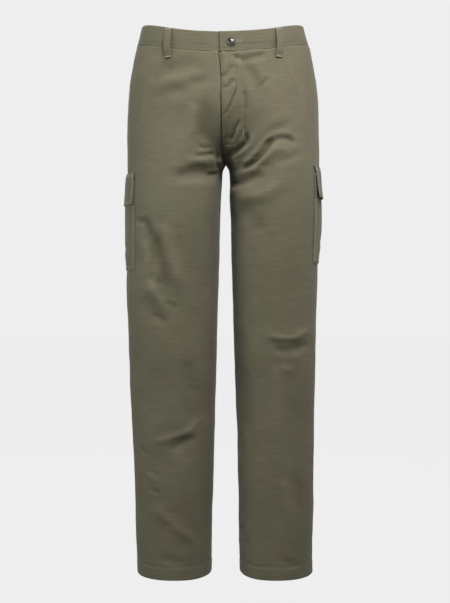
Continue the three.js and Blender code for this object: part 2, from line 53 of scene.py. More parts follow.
studio = {
    "camera": (0.002, -2.7, -0.519),
    "lens": 81.6,
    "floor": -1.13,
    "floorSize": 40.0,
    "backdrop": (0.855, 0.855, 0.855, 1),
    "ambient": (0.137, 0.146, 0.142, 1),
    "lights": [
        {"name": "keyLight", "at": (0.3, -1.03, 0.85), "aim": (0.0, 0.0, -0.05), "size": 0.7, "watts": 29,
         "colour": (1.0, 0.962, 0.975)},
        {"name": "leftLight", "at": (-1.7, -0.85, 0.0), "aim": (0.0, 0.0, -0.4), "size": 1.0, "watts": 17,
         "colour": (0.98, 1.0, 0.98)},
        {"name": "rightLight", "at": (1.6, -0.6, 0.5), "aim": (0.0, 0.0, 0.0), "size": 0.8, "watts": 10,
         "colour": (1.0, 0.99, 0.98)},
        {"name": "backLight", "at": (-0.9, 2.2, 0.7), "aim": (0.0, 0.0, -0.4), "size": 1.4, "watts": 26,
         "colour": (1.0, 1.0, 1.0)},
    ],
}


def aimAt(thing, start, aim):
    thing.location = start
    thing.rotation_euler = (Vector(aim) - Vector(start)).to_track_quat("-Z", "Y").to_euler()
    bpy.context.scene.collection.objects.link(thing)


def makeStudio():
    camera = bpy.data.objects.new("camera", bpy.data.cameras.new("camera"))
    camera.data.lens = studio["lens"]
    start = Vector(studio["camera"])
    aimAt(camera, start, start + Vector((0, 1, 0)))
    bpy.context.scene.camera = camera
    for light in studio["lights"]:
        data = bpy.data.lights.new(light["name"], "AREA")
        data.size = light["size"]
        data.energy = light["watts"]
        data.color = light["colour"]
        aimAt(bpy.data.objects.new(light["name"], data), light["at"], light["aim"])
    bpy.context.scene.view_settings.view_transform = "Standard"


makeStudio()
print("studio ready")

# Reading the frame. A cloth solid is a grid of points and the same grid moved in. The walk below
# finds the outer grid again: rows run down, and columns run from the side seam to the middle.

walls = {
    "top": {"rows": 14, "columns": 15, "start": lambda co: co.z},
    "thigh": {"rows": 20, "columns": 15, "start": lambda co: co.z},
    "shin": {"rows": 13, "columns": 15, "start": lambda co: co.z},
    "band": {"rows": 3, "columns": 29, "start": lambda co: -co.y},
    "tuckedBand": {"rows": 3, "columns": 31, "start": lambda co: -co.y},
    "pocket": {"rows": 9, "columns": 8, "mirrored": 1, "start": lambda co: co.y},
    "flap": {"rows": 4, "columns": 8, "mirrored": 1, "start": lambda co: co.y},
    "loop": {"rows": 7, "columns": 2, "start": lambda co: co.z},
}
panelParts = ["top", "thigh", "shin"]
rimEdge = 3.4 * mm
legAxis = (0.09, 0.01)


def outerIsland(bm, sign):
    axis = Vector((sign * legAxis[0], legAxis[1]))
    left = set(bm.verts)
    best, bestOut = None, 0
    while left:
        island, fresh = set(), [left.pop()]
        while fresh:
            vert = fresh.pop()
            island.add(vert)
            near = {e.other_vert(vert) for e in vert.link_edges} & left
            left -= near
            fresh += near
        out = 0
        for f in {f for v in island for f in v.link_faces}:
            outward = (f.calc_center_median().xy - axis).normalized()
            out += f.calc_area() * f.normal.xy.dot(outward)
        if out > bestOut:
            best, bestOut = island, out
    return best


def alongRim(vert, before, steps):
    path = [vert]
    while len(path) <= steps:
        ahead = [e.other_vert(vert) for e in vert.link_edges if e.is_boundary]
        vert, before = next(v for v in ahead if v is not before), vert
        path.append(vert)
    return path


def cadGrid(node, kind):
    wall = walls[kind]
    rows, columns = wall["rows"], wall["columns"]
    bm = bmesh.new()
    bm.from_mesh(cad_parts[node].data)
    bmesh.ops.remove_doubles(bm, verts=bm.verts, dist=0.001 * mm)
    rim = [f for f in bm.faces if min(e.calc_length() for e in f.edges) < rimEdge]
    bmesh.ops.delete(bm, geom=rim, context="FACES")
    low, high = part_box(node)
    island = outerIsland(bm, -1 if low.x + high.x < -mm else 1)
    corner = max((v for v in island if len(v.link_edges) == 2), key=lambda v: wall["start"](v.co))
    for first in [e.other_vert(corner) for e in corner.link_edges]:
        top = [corner] + alongRim(first, corner, columns - 2)
        if len(top[-1].link_edges) <= 3:
            break
    grid, used = [top[::-1]], set()

    def third(a, b):
        face = next(f for f in bm.edges.get((a, b)).link_faces if f not in used)
        used.add(face)
        return next(v for v in face.verts if v is not a and v is not b)

    for _ in range(rows - 1):
        upper, lower = grid[-1], [None] * columns
        for c in range(columns - 1):
            if c < wall.get("mirrored", 0):
                lower[c] = third(upper[c], upper[c + 1])
                lower[c + 1] = third(lower[c], upper[c + 1])
            else:
                lower[c + 1] = third(upper[c], upper[c + 1])
                lower[c] = third(upper[c], lower[c + 1])
        grid.append(lower)
    points = np.array([[v.co[:] for v in row] for row in grid])
    bm.free()
    return points


# Smooth surfaces through those grids


def smooth(t):
    k = np.clip(t, 0, 1)
    return k * k * (3 - 2 * k)


def bell(t):
    return np.exp(-(t**2))


def splined(grid, at):
    # Catmull-Rom through the rows of a grid that has one spare row at each end
    cell = np.clip(np.floor(at).astype(int), 0, len(grid) - 4)
    t = (at - cell)[:, None, None]
    weights = [-t + 2 * t**2 - t**3, 2 - 5 * t**2 + 3 * t**3, t + 4 * t**2 - 3 * t**3, t**3 - t**2]
    return sum(w * grid[cell + i] for i, w in enumerate(weights)) / 2


def spare(grid):
    return np.concatenate([2 * grid[:1] - grid[1:2], grid, 2 * grid[-1:] - grid[-2:-1]])


def swapped(grid):
    # rows for columns
    return grid.transpose(1, 0, 2)


def spareColumns(grid):
    return swapped(spare(swapped(grid)))


def across(grid, at):
    return swapped(splined(swapped(grid), at))


def towardEnds(count, last, pull):
    # count + 1 places from 0 to last, closer together at both ends
    t = np.linspace(0, 1, count + 1)
    return last * (t - pull * np.sin(2 * np.pi * t) / (2 * np.pi))


def distances(points, fromEnd=False):
    # how far each point lies from the first, or the last, point of its row
    steps = np.linalg.norm(np.diff(points, axis=1), axis=2)
    run = np.concatenate([np.zeros((len(points), 1)), np.cumsum(steps, axis=1)], axis=1)
    return run[:, -1:] - run if fromEnd else run


def fromEdges(points, *edges):
    # how far each point lies from the nearest of these edges of the grid
    runs = []
    for edge in edges:
        if edge in ("first", "last"):
            runs.append(distances(points, edge == "last"))
        else:
            runs.append(distances(swapped(points), edge == "bottom").T)
    return np.min(runs, axis=0)


def normalsOf(points, away):
    # all on the side that away points to
    normals = np.cross(np.gradient(points, axis=0), np.gradient(points, axis=1))
    normals /= np.maximum(np.linalg.norm(normals, axis=2, keepdims=True), 1e-9)
    return normals if (normals * away).sum() > 0 else -normals


def fromLeg(points, side):
    # straight out from the middle of that leg
    return (points - np.array([sides[side] * legAxis[0], legAxis[1], 0])) * np.array([1, 1, 0])


def clothNoise(points, size, seed):
    flat = points.reshape(-1, 3) / size + seed
    values = [noise.noise(Vector(p)) for p in flat]
    return np.array(values).reshape(points.shape[:2])


def wave(points, rule):
    # the rule is a height in millimetres, the size of the waves in metres, and a seed
    height, size, seed = rule
    return mm * height * clothNoise(points, size, seed)


def wornCloth(heights, away, rule):
    # painted light on ridges and painted shade in troughs, from the heights, and real wear along an edge.
    # the rule: the height over which the painted light and shade run their full range, how wide and
    # how much an edge wears, and a limit on what the height gives
    full, width, share, most = rule
    return np.clip(0.5 + heights / full, 0, most) + share * bell(away / width)


# Front pocket mouths, as paths of x and z in millimetres, and how far from them the stitches lie

mouth = {
    "right": [(-121, -50), (-126, -72), (-139, -98), (-152, -128), (-161, -164), (-166, -204)],
    "left": [(119, -48), (125, -72), (138, -98), (150, -128), (158, -164), (163, -204)],
    "inset": 6.0 * mm,
}

# Creases, listed one by one: a height, a width and a path of x and z, in millimetres. A negative height is
# a trough and a positive one a ridge. The width is half that of the fold.

frontCreases = [
    # crotch and under the fly
    (-4.2, 9, [(-99, -289), (-80, -281), (-63, -277), (-48, -275),
                (-34, -273), (-21, -275), (-10, -275)]),
    (-3.0, 3.2, [(-34, -273), (-22, -273), (-10, -273)]),
    (1.8, 8, [(-76, -255), (-53, -251), (-30, -249)]),
    (-2.6, 4.5, [(-63, -244), (-40, -240), (-28, -236), (-17, -238)]),
    (-1.6, 3.5, [(-49, -225), (-34, -226), (-25, -221)]),
    (-2.4, 3.5, [(-13, -230), (-13, -246), (-12, -263)]),
    (1.6, 3.5, [(-7, -236), (-9, -251), (-10, -265)]),
    (-6.4, 4.4, [(0, -233), (11, -232), (23, -229), (32, -224), (41, -216), (44, -207), (44, -194)]),
    (-2.2, 6.5, [(6, -238), (8, -249), (11, -265)]),
    (1.8, 4, [(19, -240), (21, -249), (23, -261)]),
    (-9.0, 4.6, [(36, -270), (47, -262), (57, -254), (69, -241), (78, -229), (88, -217), (97, -211)]),
    (-4.5, 4.6, [(87, -218), (93, -213), (101, -209), (111, -207),
                (121, -208), (129, -213), (137, -222)]),
    (1.8, 7, [(70, -263), (82, -248), (95, -234), (112, -229), (126, -234)]),
    (1.6, 7, [(30, -272), (44, -271), (61, -265)]),
    (-4.2, 8, [(8, -285), (23, -288), (38, -287), (51, -284), (65, -279), (80, -276)]),
    (-1.8, 6, [(97, -259), (116, -249), (133, -241), (150, -230)]),
    (2.0, 9, [(19, -322), (53, -320), (84, -308), (114, -293)]),
    (-2.4, 16, [(23, -341), (46, -348), (63, -367), (63, -394)]),
    (-1.0, 9, [(65, -291), (72, -307), (84, -322)]),
    # hips
    (-1.6, 10, [(-148, -88), (-127, -83), (-107, -78), (-88, -73), (-61, -71), (-34, -71)]),
    (-1.5, 9, [(-141, -133), (-122, -127), (-103, -122), (-82, -116),
                (-59, -110), (-38, -101), (-15, -90)]),
    (-2.4, 14, [(-36, -131), (-37, -164), (-37, -190), (-39, -219)]),
    (1.4, 11, [(-53, -143), (-61, -173), (-61, -208)]),
    (1.6, 12, [(-126, -105), (-103, -100), (-72, -93), (-42, -80)]),
    (-3.4, 6, [(11, -53), (23, -57), (36, -62), (51, -58), (67, -53), (89, -47)]),
    (-2.6, 8.5, [(36, -69), (46, -78), (57, -92), (67, -109), (70, -131)]),
    (-1.8, 3.5, [(69, -114), (77, -106), (86, -93)]),
    (-1.8, 6, [(34, -120), (43, -137), (40, -160)]),
    # pocket mouths
    *[(0.8, 3, mouth[side]) for side in ("right", "left")],
    # along the fly's edge and its stitching
    (-3.6, 2.9, [(-12, -22), (-9, -44), (-5, -70), (-4, -108), (-5, -130), (-5, -180), (-5, -250)]),
    (-1.5, 2.2, [(40, -112), (40, -134), (40.5, -160), (39.5, -184), (39, -206)]),
    # fly wrinkles
    (-2.6, 3.6, [(26, -50), (22, -67), (23, -80), (20, -99)]),
    (-3.4, 4.5, [(18, -72), (10, -86), (-1, -99)]),
    (-2.8, 3.8, [(20, -98), (10, -109), (0, -118)]),
    (-3.4, 2.5, [(22, -93), (21, -116), (17, -132), (10, -150), (-2, -171)]),
    (1.4, 4, [(15, -71), (11, -88), (4, -105)]),
    (-2.6, 4, [(32, -171), (23, -189), (19, -204), (16, -219)]),
    (1.6, 4, [(31, -185), (28, -200), (25, -215)]),
    (-1.6, 9, [(4, -200), (10, -213)]),
    # thigh of the wearer's right leg
    (-2.0, 5.5, [(-171, -362), (-160, -365), (-148, -369), (-141, -385), (-135, -402)]),
    (-2.6, 12, [(-141, -379), (-130, -409), (-122, -436), (-114, -461), (-107, -485), (-99, -510)]),
    (1.8, 13, [(-116, -367), (-107, -402), (-97, -444), (-88, -485)]),
    (1.2, 9, [(-154, -394), (-148, -425), (-141, -451)]),
    (-1.6, 7, [(-147, -466), (-131, -478), (-116, -489)]),
    (1.6, 8, [(-145, -485), (-129, -508), (-112, -533)]),
    (-1.5, 6, [(-137, -544), (-122, -552), (-108, -560)]),
    (-1.0, 14, [(-40, -421), (-46, -516), (-49, -592)]),
    (-1.6, 5, [(-116, -520), (-99, -527), (-91, -537)]),
    # shin of the wearer's right leg
    (1.7, 6, [(-141, -790), (-118, -786), (-95, -779), (-70, -768), (-53, -756), (-34, -740)]),
    (1.0, 4, [(-51, -773), (-38, -761), (-25, -752)]),
    (-2.0, 7, [(-107, -807), (-89, -796), (-70, -786), (-53, -777)]),
    (-1.1, 4, [(-164, -797), (-154, -809), (-147, -817)]),
    (1.2, 5, [(-152, -851), (-137, -860), (-126, -866)]),
    (-1.4, 5, [(-143, -879), (-133, -885), (-122, -886)]),
    (1.4, 8, [(-137, -912), (-107, -938), (-76, -965), (-46, -992)]),
    (-1.2, 7, [(-126, -1011), (-99, -1018), (-72, -1022)]),
    (-1.5, 12, [(-72, -630), (-65, -668), (-57, -702)]),
    # the wearer's left leg
    (-2.2, 16, [(34, -554), (30, -630), (38, -706), (49, -801)]),
    (1.5, 15, [(99, -630), (103, -706), (107, -782)]),
    (1.8, 5.5, [(82, -581), (101, -588), (126, -589), (148, -581), (167, -571)]),
    (-1.8, 7, [(91, -605), (116, -615), (145, -607), (164, -596)]),
    (1.2, 6, [(107, -641), (120, -649), (137, -647)]),
    (-1.4, 6, [(30, -950), (38, -976), (49, -997)]),
    (-1.4, 9, [(137, -849), (147, -891), (154, -934)]),
    (1.3, 10, [(114, -858), (122, -908), (133, -961)]),
    (-1.4, 8, [(112, -1014), (127, -1022), (141, -1018)]),
]
backCreases = [
    # seat and thigh
    (-3.4, 7, [(-158, -252), (-128, -276), (-92, -290), (-54, -286), (-20, -268)]),
    (-3.2, 7, [(156, -246), (124, -272), (90, -288), (52, -282), (22, -264)]),
    (1.8, 8, [(-140, -236), (-108, -258), (-70, -266), (-36, -254)]),
    (1.8, 8, [(142, -232), (108, -254), (72, -262), (38, -250)]),
    (-2.2, 6, [(-140, -326), (-104, -348), (-66, -350), (-34, -334)]),
    (-2.4, 6, [(136, -338), (104, -356), (72, -358), (42, -342)]),
    (-1.8, 6, [(-8, -196), (-30, -206), (-58, -204)]),
    (-1.8, 6, [(10, -190), (34, -202), (66, -198)]),
    (-1.4, 9, [(-130, -96), (-92, -88), (-52, -96)]),
    (-1.4, 9, [(124, -84), (90, -78), (54, -88)]),
    (1.5, 12, [(-96, -128), (-88, -170), (-84, -214)]),
    (1.5, 12, [(92, -122), (88, -168), (82, -210)]),
    # backs of the knees and calves
    (-2.8, 6, [(-160, -560), (-132, -580), (-98, -590), (-62, -584), (-40, -572)]),
    (1.8, 6, [(-142, -600), (-108, -610), (-70, -606)]),
    (-2.2, 5, [(-152, -636), (-122, -630), (-90, -630), (-52, -644)]),
    (-2.8, 6, [(164, -570), (134, -590), (104, -598), (72, -594), (50, -584)]),
    (1.8, 6, [(148, -612), (116, -620), (78, -616)]),
    (-2.2, 5, [(154, -650), (122, -642), (90, -640), (58, -650)]),
    (-1.8, 6, [(-138, -704), (-106, -690), (-66, -684)]),
    (-1.8, 6, [(60, -716), (96, -700), (140, -694)]),
    (1.4, 8, [(-128, -780), (-98, -820), (-80, -872)]),
    (1.4, 8, [(132, -768), (108, -812), (92, -868)]),
    (-1.6, 6, [(-140, -902), (-104, -888), (-56, -902)]),
    (-1.6, 6, [(142, -882), (104, -868), (64, -884)]),
    (-1.2, 6, [(-124, -984), (-92, -996), (-60, -990)]),
    (-1.2, 6, [(128, -976), (96, -990), (62, -986)]),
]
creaseRule = {
    "flank": 0.32, "flankAt": 2.1, "flankWidth": 1.2, "fade": 0.21, "reach": 4, "steps": 8,
    "wander": 3.0, "wanderSize": 0.035, "wanderSeed": 3.7, "sideY": 30 * mm, "sideDepth": 60 * mm,
}


def creaseLine(path):
    points = np.array(path, float)[:, None, :]
    places = np.linspace(0, len(path) - 1, (len(path) - 1) * creaseRule["steps"] + 1)
    return splined(spare(points), places)[:, 0]


def creaseHeights(points, wander):
    # wander is a slow noise that keeps the lines from running too straight
    frontShare = smooth((creaseRule["sideY"] - points[..., 1]) / creaseRule["sideDepth"])
    x = points[..., 0] / mm + wander * creaseRule["wander"]
    z = points[..., 2] / mm - wander * creaseRule["wander"]
    total = np.zeros(x.shape)
    every = [(frontShare, *crease) for crease in frontCreases]
    every += [(1 - frontShare, *crease) for crease in backCreases]
    for share, height, width, path in every:
        line = creaseLine(path)
        reach = creaseRule["reach"] * width
        low, high = line.min(0) - reach, line.max(0) + reach
        near = (x > low[0]) & (x < high[0]) & (z > low[1]) & (z < high[1])
        if not near.any():
            continue
        px, pz = x[near], z[near]
        best, place = np.full(px.shape, np.inf), np.zeros(px.shape)
        for i, (a, b) in enumerate(zip(line[:-1], line[1:])):
            run = b - a
            t = np.clip(((px - a[0]) * run[0] + (pz - a[1]) * run[1]) / (run @ run), 0, 1)
            apart = np.hypot(px - a[0] - t * run[0], pz - a[1] - t * run[1])
            nearer = apart < best
            best = np.where(nearer, apart, best)
            place = np.where(nearer, (i + t) / (len(line) - 1), place)
        wide = best / width
        core = bell(wide)
        flank = bell((wide - creaseRule["flankAt"]) / creaseRule["flankWidth"])
        fade = smooth(place / creaseRule["fade"]) * smooth((1 - place) / creaseRule["fade"])
        total[near] += share[near] * height * fade * (core - creaseRule["flank"] * flank)
    return total * mm


# Panels

panel = {
    "hemStepRow": 43, "crotchRow": 12, "lastColumn": 14, "columns": 104, "pull": 0.4, "perRow": 8,
    "firstRow": 12, "hemRow": 16, "wall": 1.2 * mm, "hemWall": 2.6 * mm, "hemHeight": 25 * mm,
    "seamDip": 0.9, "seamWidth": 2.2 * mm, "pressed": 0.45, "pressedAt": 5.5 * mm,
    "hemDip": 0.6, "hemPucker": 1.6, "hemRise": 0.5, "tuckUp": 1.4 * mm, "tuckIn": 1.0 * mm,
    "waves": [(1.5, 0.085, 11.3), (0.5, 0.03, 5.1), (0.1, 0.009, 8.9)],
    "pucker": (0.32, 0.010, 21.5), "puckerReach": 9 * mm,
    "wearAndShade": (6 * mm, 3 * mm, 0.35, 1.0), "wearAt": 3 * mm,
    "pocketRows": (12, 21), "pocketColumns": {"front": 1, "back": 6}, "underPocket": 0.9,
}


def shareSeams(parts, crotch):
    # the panels' edges are made the same on both sides of each seam
    def share(keys, where):
        middle = sum(parts[key][where] for key in keys) / len(keys)
        for key in keys:
            parts[key][where] = middle

    for side in sides:
        share([("front", side), ("back", side)], (slice(None), 0))
        share([("front", side), ("back", side)], (slice(crotch + 1, None), -1))
    for face in faces:
        share([(face, "left"), (face, "right")], (slice(0, crotch), -1))
    share([(face, side) for face in faces for side in sides], (crotch, -1))


def other(names, name):
    return next(n for n in names if n != name)


def panelRows(last):
    return np.concatenate([
        np.linspace(0, 1, panel["firstRow"] + 1)[:-1],
        np.linspace(1, last - 1, (last - 2) * panel["perRow"] + 1)[:-1],
        np.linspace(last - 1, last, panel["hemRow"] + 1)])


def wholePanel(face, side):
    # a panel's solids joined again, with a row that two of them share taken halfway between
    top, *lower = [cadGrid(f"{face}_{side}_{part}", part) for part in panelParts]
    for part in lower:
        top = np.concatenate([top[:-1], (top[-1:] + part[:1]) / 2, part[1:]])
    return np.delete(top, panel["hemStepRow"], axis=0)


def finePanels():
    coarse = {(face, side): wholePanel(face, side) for face in faces for side in sides}
    crotch = panel["crotchRow"]
    shareSeams(coarse, crotch)
    last = len(coarse["front", "left"]) - 1
    rowAt = panelRows(last)
    columnAt = towardEnds(panel["columns"], panel["lastColumn"], panel["pull"])
    turned = smooth((columnAt - columnAt[-1] + 2) / 2)[None, :, None]
    fine = {}
    for (face, side), grid in coarse.items():
        behind = coarse[other(faces, face), side]
        wide = np.concatenate([behind[:, 1:2], grid, behind[:, -2:-1]], axis=1)
        wide[:crotch + 1, -1] = coarse[face, other(sides, side)][:crotch + 1, -2]
        lines = across(wide, columnAt)
        flowing = splined(spare(lines), rowAt)
        above = splined(spare(lines[:crotch + 1]), rowAt[rowAt <= crotch])
        below = splined(spare(lines[crotch:]), rowAt[rowAt > crotch] - crotch)
        fine[face, side] = flowing * (1 - turned) + np.concatenate([above, below]) * turned
    return fine, rowAt, columnAt


def panelHeights(face, points, rowAt, columnAt):
    wander = clothNoise(points, creaseRule["wanderSize"], creaseRule["wanderSeed"])
    heights = creaseHeights(points, wander)
    for rule in panel["waves"]:
        heights += wave(points, rule)
    puckers = wave(points, panel["pucker"])
    seamWidth, reach = panel["seamWidth"], panel["puckerReach"]
    for edge in ("first", "last"):
        away = fromEdges(points, edge)
        heights -= mm * panel["seamDip"] * bell(away / seamWidth)
        heights += mm * panel["pressed"] * bell((away - panel["pressedAt"]) / (2 * seamWidth))
        heights += puckers * bell(away / reach)
    fromHem = fromEdges(points, "bottom")
    fromStitch = np.abs(fromHem - panel["hemHeight"])
    heights -= mm * panel["seamDip"] * panel["hemDip"] * bell(fromStitch / seamWidth)
    heights += panel["hemPucker"] * puckers * bell(fromStitch / reach)
    heights += mm * panel["hemRise"] * smooth((panel["hemHeight"] - fromHem) / seamWidth)
    # the cloth lies flat under the cargo pocket
    rows = rowAt[:, None]
    inRows = smooth((rows - panel["pocketRows"][0]) * 3) * smooth((panel["pocketRows"][1] - rows) * 3 + 0.4)
    inColumns = smooth((panel["pocketColumns"][face] - columnAt[None, :]) * 4 + 0.6)
    covered = inRows * inColumns
    return heights * (1 - covered) - mm * panel["underPocket"] * covered


def dressedPanels():
    fine, rowAt, columnAt = finePanels()
    crotch = int(np.argmin(np.abs(rowAt - panel["crotchRow"])))
    shareSeams(fine, crotch)
    normals = {key: normalsOf(points, fromLeg(points, key[1])) for key, points in fine.items()}
    shareSeams(normals, crotch)
    dressed, lift = {}, {}
    for key, points in fine.items():
        lift[key] = panelHeights(key[0], points, rowAt, columnAt)
        dressed[key] = points + normals[key] * lift[key][..., None]
    shareSeams(dressed, crotch)
    for key, points in dressed.items():
        # the top edge goes up into the waistband, so that the seam is closed
        up = points[0] - points[1]
        up /= np.linalg.norm(up, axis=-1, keepdims=True)
        points[0] += up * panel["tuckUp"] - normals[key][0] * panel["tuckIn"]
    return dressed, normals, lift


# Turning a grid of points into a piece


def placesOf(data):
    flat = np.zeros(len(data.vertices) * 3)
    data.vertices.foreach_get("co", flat)
    return flat.reshape(-1, 3)


def addPiece(name, data):
    data.polygons.foreach_set("use_smooth", np.ones(len(data.polygons), bool))
    piece = bpy.data.objects.new(name, data)
    bpy.context.scene.collection.objects.link(piece)
    return piece


def sheetMesh(name, points, normals, wearAndShade):
    rows, columns = points.shape[:2]
    bm = bmesh.new()
    bmesh.ops.create_grid(bm, x_segments=columns - 1, y_segments=rows - 1, size=0.5)
    data = bpy.data.meshes.new(name)
    bm.to_mesh(data)
    bm.free()
    place = placesOf(data)
    c = np.rint((place[:, 0] + 0.5) * (columns - 1)).astype(int)
    r = np.rint((0.5 - place[:, 1]) * (rows - 1)).astype(int)
    data.vertices.foreach_set("co", points[r, c].ravel())
    data.update()
    # the plan of the piece in metres, for the weave
    middle = slice(columns // 2, columns // 2 + 1)
    spread = distances(points)
    width = spread - spread[:, middle]
    length = fromEdges(points, "top")[:, middle] * np.ones((1, columns))
    corners = np.zeros(len(data.loops), int)
    data.loops.foreach_get("vertex_index", corners)
    plan = data.uv_layers.new(name="clothPlan")
    plan.data.foreach_set("uv", np.stack([width[r, c], -length[r, c]], axis=1)[corners].ravel())
    worn = data.attributes.new("wearAndShade", "FLOAT", "POINT")
    worn.data.foreach_set("value", wearAndShade[r, c])
    facing = np.zeros(len(data.polygons) * 3)
    data.polygons.foreach_get("normal", facing)
    first = np.zeros(len(data.polygons), int)
    data.polygons.foreach_get("loop_start", first)
    wanted = normals[r, c][corners[first]]
    if (facing.reshape(-1, 3) * wanted).sum() < 0:
        data.flip_normals()
    return addPiece(name, data)


def giveWall(piece, wall, thick=None, thickWall=None):
    # the cloth's thickness goes inwards; thick holds a share for each vertex where it is doubled
    shell = piece.modifiers.new("wall", "SOLIDIFY")
    shell.thickness = thickWall or wall
    shell.offset = -1
    shell.use_even_offset = False
    if thick is not None:
        group = piece.vertex_groups.new(name="doubled")
        for i in np.flatnonzero(thick > 0):
            group.add([int(i)], float(thick[i]), "REPLACE")
        shell.vertex_group = group.name
        shell.thickness_vertex_group = wall / thickWall


def rolledEdge(away, radius):
    # how far a turned edge drops, by its distance from that edge
    k = 1 - np.clip(away / radius, 0, 1)
    return radius * (1 - np.sqrt(np.maximum(1 - k * k, 0)))


def insetLine(points, normals, edge, inset, trim=(0, 0)):
    # a line at an even distance in from one edge of a grid
    turn = {"first": lambda a: a, "last": lambda a: a[:, ::-1],
            "top": swapped, "bottom": lambda a: swapped(a[::-1])}[edge]
    points, normals = turn(points), turn(normals)
    runs = distances(points)
    line, facing = [], []
    for row, run, upright in zip(points, runs, normals):
        place = np.interp(inset, run, np.arange(len(run)))
        i = min(int(place), len(run) - 2)
        t = place - i
        line.append(row[i] * (1 - t) + row[i + 1] * t)
        facing.append(upright[i] * (1 - t) + upright[i + 1] * t)
    line, facing = np.array(line), np.array(facing)
    run = distances(line[None])[0]
    keep = (run >= trim[0]) & (run <= run[-1] - trim[1])
    return line[keep], facing[keep]


# Thread

# pitch, length, width, height and how proud it stands, in millimetres, and whether it lies across
thread = {
    "plain": (3.3, 2.6, 0.7, 0.5, 0.12, False),
    "bold": (3.4, 3.0, 1.0, 0.6, 0.2, False),
    "tack": (0.7, 1.8, 0.6, 0.7, 0.2, True),
    "hole": (0.8, 1.9, 0.6, 0.6, 0.15, True),
    # the slit is no thread: a flat dark strip of painted shade in the buttonhole's cut
    "slit": (1.6, 2.6, 1.3, 0.3, 0.1, False),
}
threadWork = {}
stitchesAtOnce = 150  # bmesh makes them faster in short runs


def sew(group, line, facing, kind="plain"):
    *sizes, lyingAcross = thread[kind]
    pitch, length, width, height, proud = (size * mm for size in sizes)
    work = threadWork.setdefault(group, [])
    run = distances(line[None])[0]
    places = np.arange(pitch / 2, run[-1], pitch)

    def along(points, shift=0.0):
        return np.stack([np.interp(places + shift, run, points[:, i]) for i in range(3)], axis=1)

    spots = zip(along(line), along(facing), along(line, mm / 2), along(line, -mm / 2))
    for middle, upright, ahead, behind in spots:
        tangent = Vector(ahead - behind).normalized()
        out = Vector(upright).normalized()
        sideways = tangent.cross(out).normalized()
        out = sideways.cross(tangent)
        if lyingAcross:
            tangent, sideways = sideways, tangent
        axes = sideways * width / 2, out * height / 2, tangent * length / 2
        centre = Vector(middle) + out * proud
        work.append(Matrix((*[(*axis, 0) for axis in axes], (*centre, 1))).transposed())


def makeThread(group):
    whole = bmesh.new()
    places = threadWork[group]
    for start in range(0, len(places), stitchesAtOnce):
        bm = bmesh.new()
        for place in places[start:start + stitchesAtOnce]:
            bmesh.ops.create_uvsphere(bm, u_segments=6, v_segments=4, radius=1, matrix=place)
        part = bpy.data.meshes.new("part")
        bm.to_mesh(part)
        bm.free()
        whole.from_mesh(part)
        bpy.data.meshes.remove(part)
    bmesh.ops.recalc_face_normals(whole, faces=whole.faces)
    data = bpy.data.meshes.new(group)
    whole.to_mesh(data)
    whole.free()
    return addPiece(group, data)


dressed, panelNormals, lift = dressedPanels()
pieces = {}
for (face, side), points in dressed.items():
    name = f"cloth_{face}_{side}"
    # the colour follows the heights: painted light on ridges, painted shade in troughs, seam grooves and
    # under the pocket, and real wear along the pressed seams
    fromRidge = fromEdges(points, "first", "last") - panel["wearAt"]
    wearAndShade = wornCloth(lift[face, side], fromRidge, panel["wearAndShade"])
    pieces[name] = sheetMesh(name, points, panelNormals[face, side], wearAndShade)
    hemTop = points[-1, :, 2].mean() + panel["hemHeight"]
    hemShare = smooth((hemTop - placesOf(pieces[name].data)[:, 2]) / (2 * mm))
    giveWall(pieces[name], panel["wall"], hemShare, panel["hemWall"])
    print(name, len(pieces[name].data.polygons), "faces")


def addCloth(name, made, wall):
    points, normals, wearAndShade = made
    pieces[name] = sheetMesh(name, points, normals, wearAndShade)
    giveWall(pieces[name], wall)
    return points, normals


def surfaceTree(keys):
    points, polygons, start = [], [], 0
    for key in keys:
        data = pieces[key].data
        points += placesOf(data).tolist()
        polygons += [[v + start for v in p.vertices] for p in data.polygons]
        start = len(points)
    return BVHTree.FromPolygons(points, polygons)


frontTree = surfaceTree(["cloth_front_left", "cloth_front_right"])


def onFront(x, z, tree=frontTree):
    # the surface at x and z, seen straight on
    place, facing, _, _ = tree.ray_cast(Vector((x, -1, z)), Vector((0, 1, 0)))
    if facing.y > 0:
        facing = -facing
    return np.array(place), np.array(facing)


# Fly: the wearer's left front folds over at its edge, and is stitched down in a J

fly = {
    "width": 39 * mm, "foot": 17 * mm, "top": -47.5 * mm, "straightTo": -190 * mm, "bottom": -219 * mm,
    "edge": 2.3 * mm, "stitched": 0.12 * mm, "rise": 14 * mm, "roll": 1.5 * mm, "past": 1.0 * mm,
    "columns": 26, "rows": 150, "wall": 1.4 * mm, "worn": 0.35, "wornWidth": 2.5 * mm, "tackLift": 0.9 * mm,
}


def centreX(z):
    line = dressed["front", "left"][:, -1]
    line = line[:len(line) // 2]
    return float(np.interp(-z, -line[:, 2], line[:, 0]))


def flyWidth(z):
    down = min(max((fly["straightTo"] - z) / (fly["straightTo"] - fly["bottom"]), 0), 1)
    return fly["foot"] + (fly["width"] - fly["foot"]) * math.sqrt(1 - down * down)


